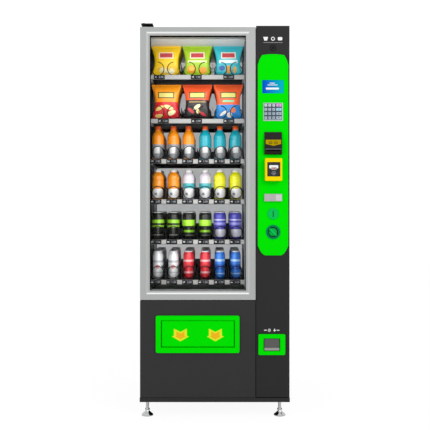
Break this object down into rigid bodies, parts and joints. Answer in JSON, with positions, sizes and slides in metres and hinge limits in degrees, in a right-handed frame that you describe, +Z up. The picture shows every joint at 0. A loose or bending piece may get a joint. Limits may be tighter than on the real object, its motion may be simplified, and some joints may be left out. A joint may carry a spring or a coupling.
{
  "type": "snack vending machine",
  "caption": "Tall glass-front spiral vending machine with a hinged door, a control column on its right, a pickup hatch, a coin cup and a refrigerated tray cabinet on feet.",
  "frame": {"origin": "on the floor at the centre of the footprint", "axes": "+X to the right seen from the front, the front faces -Y, +Z up"},
  "size_m": [0.744, 0.85, 1.963],
  "materials": {
    "door_steel": "fine textured powder coat",
    "liner_plastic": "smooth vacuum-formed sheet",
    "fascia_paint": "satin powder coat",
    "silver_frame": "satin anodised",
    "glass": "clear, double glazed",
    "gasket_rubber": "soft matt seal",
    "green_plastic": "gloss moulding",
    "display": "backlit colour display",
    "keypad_metal": "brushed",
    "key_plastic": "moulded keycaps",
    "validator_plastic": "fine texture",
    "reader_plastic": "gloss moulding",
    "button_metal": "satin",
    "teal_metal": "satin enamel",
    "lock_metal": "satin enamel",
    "mech_plastic": "moulded",
    "galvanised": "zinc plated",
    "flap_grey": "moulded",
    "cabinet_paint": "satin powder coat",
    "chrome_plate": "polished plating",
    "tray_paint": "smooth powder coat",
    "divider_black": "smooth",
    "strip_white": "extruded strip",
    "motor_plastic": "moulded",
    "spiral_wire": "coated wire",
    "bin_steel": "satin powder coat",
    "compressor_paint": "gloss enamel",
    "coil_metal": "mill finish",
    "duct_paint": "smooth powder coat",
    "fan_plastic": "moulded",
    "cord_rubber": "sheathed cable",
    "box_paint": "smooth powder coat",
    "light_diffuser": "opal diffuser"
  },
  "bodies": {
    "cabinet": {"cabinet_shell": "cabinet_paint", "insulated_liner": "liner_plastic", "base_plinth": "cabinet_paint", "levelling_feet": "chrome_plate", "hinge_brackets": "galvanised", "tray_rails": "galvanised", "evaporator": "duct_paint", "delivery_bin": "bin_steel", "compressor": "compressor_paint", "condenser": "coil_metal", "power_cord": "cord_rubber", "control_box": "box_paint", "light_strips": "light_diffuser", "tray_pans": "tray_paint", "lane_dividers": "divider_black", "price_strips": "strip_white", "spiral_motors": "motor_plastic", "spirals": "spiral_wire"},
    "door": {"door_frame": "door_steel", "door_liner": "liner_plastic", "lower_fascia": "fascia_paint", "column_fascia": "fascia_paint", "window_frame": "silver_frame", "window_glass": "glass", "door_gasket": "gasket_rubber", "control_panel": "green_plastic", "display_module": "display", "keypad_plate": "keypad_metal", "bill_validator": "validator_plastic", "card_reader": "reader_plastic", "coin_slot_plate": "teal_metal", "coin_mech": "mech_plastic", "cash_box": "galvanised", "lock_cup": "lock_metal", "coin_cup_frame": "green_plastic", "pickup_frame": "green_plastic"},
    "coin_return_button": {"coin_return_button": "button_metal"},
    "lock_handle": {"lock_handle": "lock_metal"},
    "latch_bar": {"latch_bar": "galvanised"},
    "coin_cup_flap": {"coin_cup_flap": "flap_grey"},
    "pickup_flap": {"pickup_flap": "green_plastic"},
    "key_1": {"key_1": "key_plastic"},
    "key_2": {"key_2": "key_plastic"},
    "key_3": {"key_3": "key_plastic"},
    "key_4": {"key_4": "key_plastic"},
    "key_5": {"key_5": "key_plastic"},
    "key_6": {"key_6": "key_plastic"},
    "key_7": {"key_7": "key_plastic"},
    "key_8": {"key_8": "key_plastic"},
    "key_9": {"key_9": "key_plastic"},
    "key_star": {"key_star": "key_plastic"},
    "key_0": {"key_0": "key_plastic"},
    "key_hash": {"key_hash": "key_plastic"},
    "key_clear": {"key_clear": "key_plastic"},
    "key_enter": {"key_enter": "key_plastic"},
    "key_up": {"key_up": "key_plastic"},
    "key_down": {"key_down": "key_plastic"},
    "fan_blade": {"fan_blade": "fan_plastic"},
    "spiral_1_left": {"spiral_1_left": "spiral_wire"},
    "spiral_1_right": {"spiral_1_right": "spiral_wire"}
  },
  "joints": [
    {"name": "door_hinge", "type": "hinge", "parent": "cabinet", "child": "door", "pos_m": [-0.358, -0.303, 1], "axis": [0, 0, -1], "range_deg": [0, 110]},
    {"name": "pickup_flap_pivot", "type": "hinge", "parent": "door", "child": "pickup_flap", "pos_m": [-0.0835, -0.366, 0.468], "axis": [1, 0, 0], "range_deg": [0, 75]},
    {"name": "coin_flap_pivot", "type": "hinge", "parent": "door", "child": "coin_cup_flap", "pos_m": [0.282, -0.373, 0.38], "axis": [1, 0, 0], "range_deg": [0, 60]},
    {"name": "coin_return_press", "type": "slide", "parent": "door", "child": "coin_return_button", "axis": [0, 1, 0], "range_m": [0, 0.006], "stiffness_N_per_m": 300},
    {"name": "lock_turn", "type": "hinge", "parent": "door", "child": "lock_handle", "pos_m": [0.288, -0.36, 0.912], "axis": [0, -1, 0], "range_deg": [0, 90]},
    {"name": "latch_slide", "type": "slide", "parent": "door", "child": "latch_bar", "axis": [0, 0, 1], "range_m": [0, 0.018]},
    {"name": "fan_spin", "type": "hinge", "parent": "cabinet", "child": "fan_blade", "pos_m": [-0.1, 0.353, 0.28], "axis": [0, 1, 0], "continuous": true},
    {"name": "spiral_left_turn", "type": "hinge", "parent": "cabinet", "child": "spiral_1_left", "pos_m": [-0.29875, 0.05, 1.76], "axis": [0, 1, 0], "range_deg": [0, 360]},
    {"name": "spiral_right_turn", "type": "hinge", "parent": "cabinet", "child": "spiral_1_right", "pos_m": [-0.21625, 0.05, 1.76], "axis": [0, 1, 0], "range_deg": [-360, 0]},
    {"name": "key_1_press", "type": "slide", "parent": "door", "child": "key_1", "axis": [0, 1, 0], "range_m": [0, 0.002], "stiffness_N_per_m": 400},
    {"name": "key_2_press", "type": "slide", "parent": "door", "child": "key_2", "axis": [0, 1, 0], "range_m": [0, 0.002], "stiffness_N_per_m": 400},
    {"name": "key_3_press", "type": "slide", "parent": "door", "child": "key_3", "axis": [0, 1, 0], "range_m": [0, 0.002], "stiffness_N_per_m": 400},
    {"name": "key_4_press", "type": "slide", "parent": "door", "child": "key_4", "axis": [0, 1, 0], "range_m": [0, 0.002], "stiffness_N_per_m": 400},
    {"name": "key_5_press", "type": "slide", "parent": "door", "child": "key_5", "axis": [0, 1, 0], "range_m": [0, 0.002], "stiffness_N_per_m": 400},
    {"name": "key_6_press", "type": "slide", "parent": "door", "child": "key_6", "axis": [0, 1, 0], "range_m": [0, 0.002], "stiffness_N_per_m": 400},
    {"name": "key_7_press", "type": "slide", "parent": "door", "child": "key_7", "axis": [0, 1, 0], "range_m": [0, 0.002], "stiffness_N_per_m": 400},
    {"name": "key_8_press", "type": "slide", "parent": "door", "child": "key_8", "axis": [0, 1, 0], "range_m": [0, 0.002], "stiffness_N_per_m": 400},
    {"name": "key_9_press", "type": "slide", "parent": "door", "child": "key_9", "axis": [0, 1, 0], "range_m": [0, 0.002], "stiffness_N_per_m": 400},
    {"name": "key_star_press", "type": "slide", "parent": "door", "child": "key_star", "axis": [0, 1, 0], "range_m": [0, 0.002], "stiffness_N_per_m": 400},
    {"name": "key_0_press", "type": "slide", "parent": "door", "child": "key_0", "axis": [0, 1, 0], "range_m": [0, 0.002], "stiffness_N_per_m": 400},
    {"name": "key_hash_press", "type": "slide", "parent": "door", "child": "key_hash", "axis": [0, 1, 0], "range_m": [0, 0.002], "stiffness_N_per_m": 400},
    {"name": "key_clear_press", "type": "slide", "parent": "door", "child": "key_clear", "axis": [0, 1, 0], "range_m": [0, 0.002], "stiffness_N_per_m": 400},
    {"name": "key_enter_press", "type": "slide", "parent": "door", "child": "key_enter", "axis": [0, 1, 0], "range_m": [0, 0.002], "stiffness_N_per_m": 400},
    {"name": "key_up_press", "type": "slide", "parent": "door", "child": "key_up", "axis": [0, 1, 0], "range_m": [0, 0.002], "stiffness_N_per_m": 400},
    {"name": "key_down_press", "type": "slide", "parent": "door", "child": "key_down", "axis": [0, 1, 0], "range_m": [0, 0.002], "stiffness_N_per_m": 400}
  ],
  "couplings": [
    {"joint": "lock_turn", "follows": "latch_slide", "rad_per_m": 87.266},
    {"joint": "spiral_right_turn", "follows": "spiral_left_turn", "ratio": -1}
  ]
}
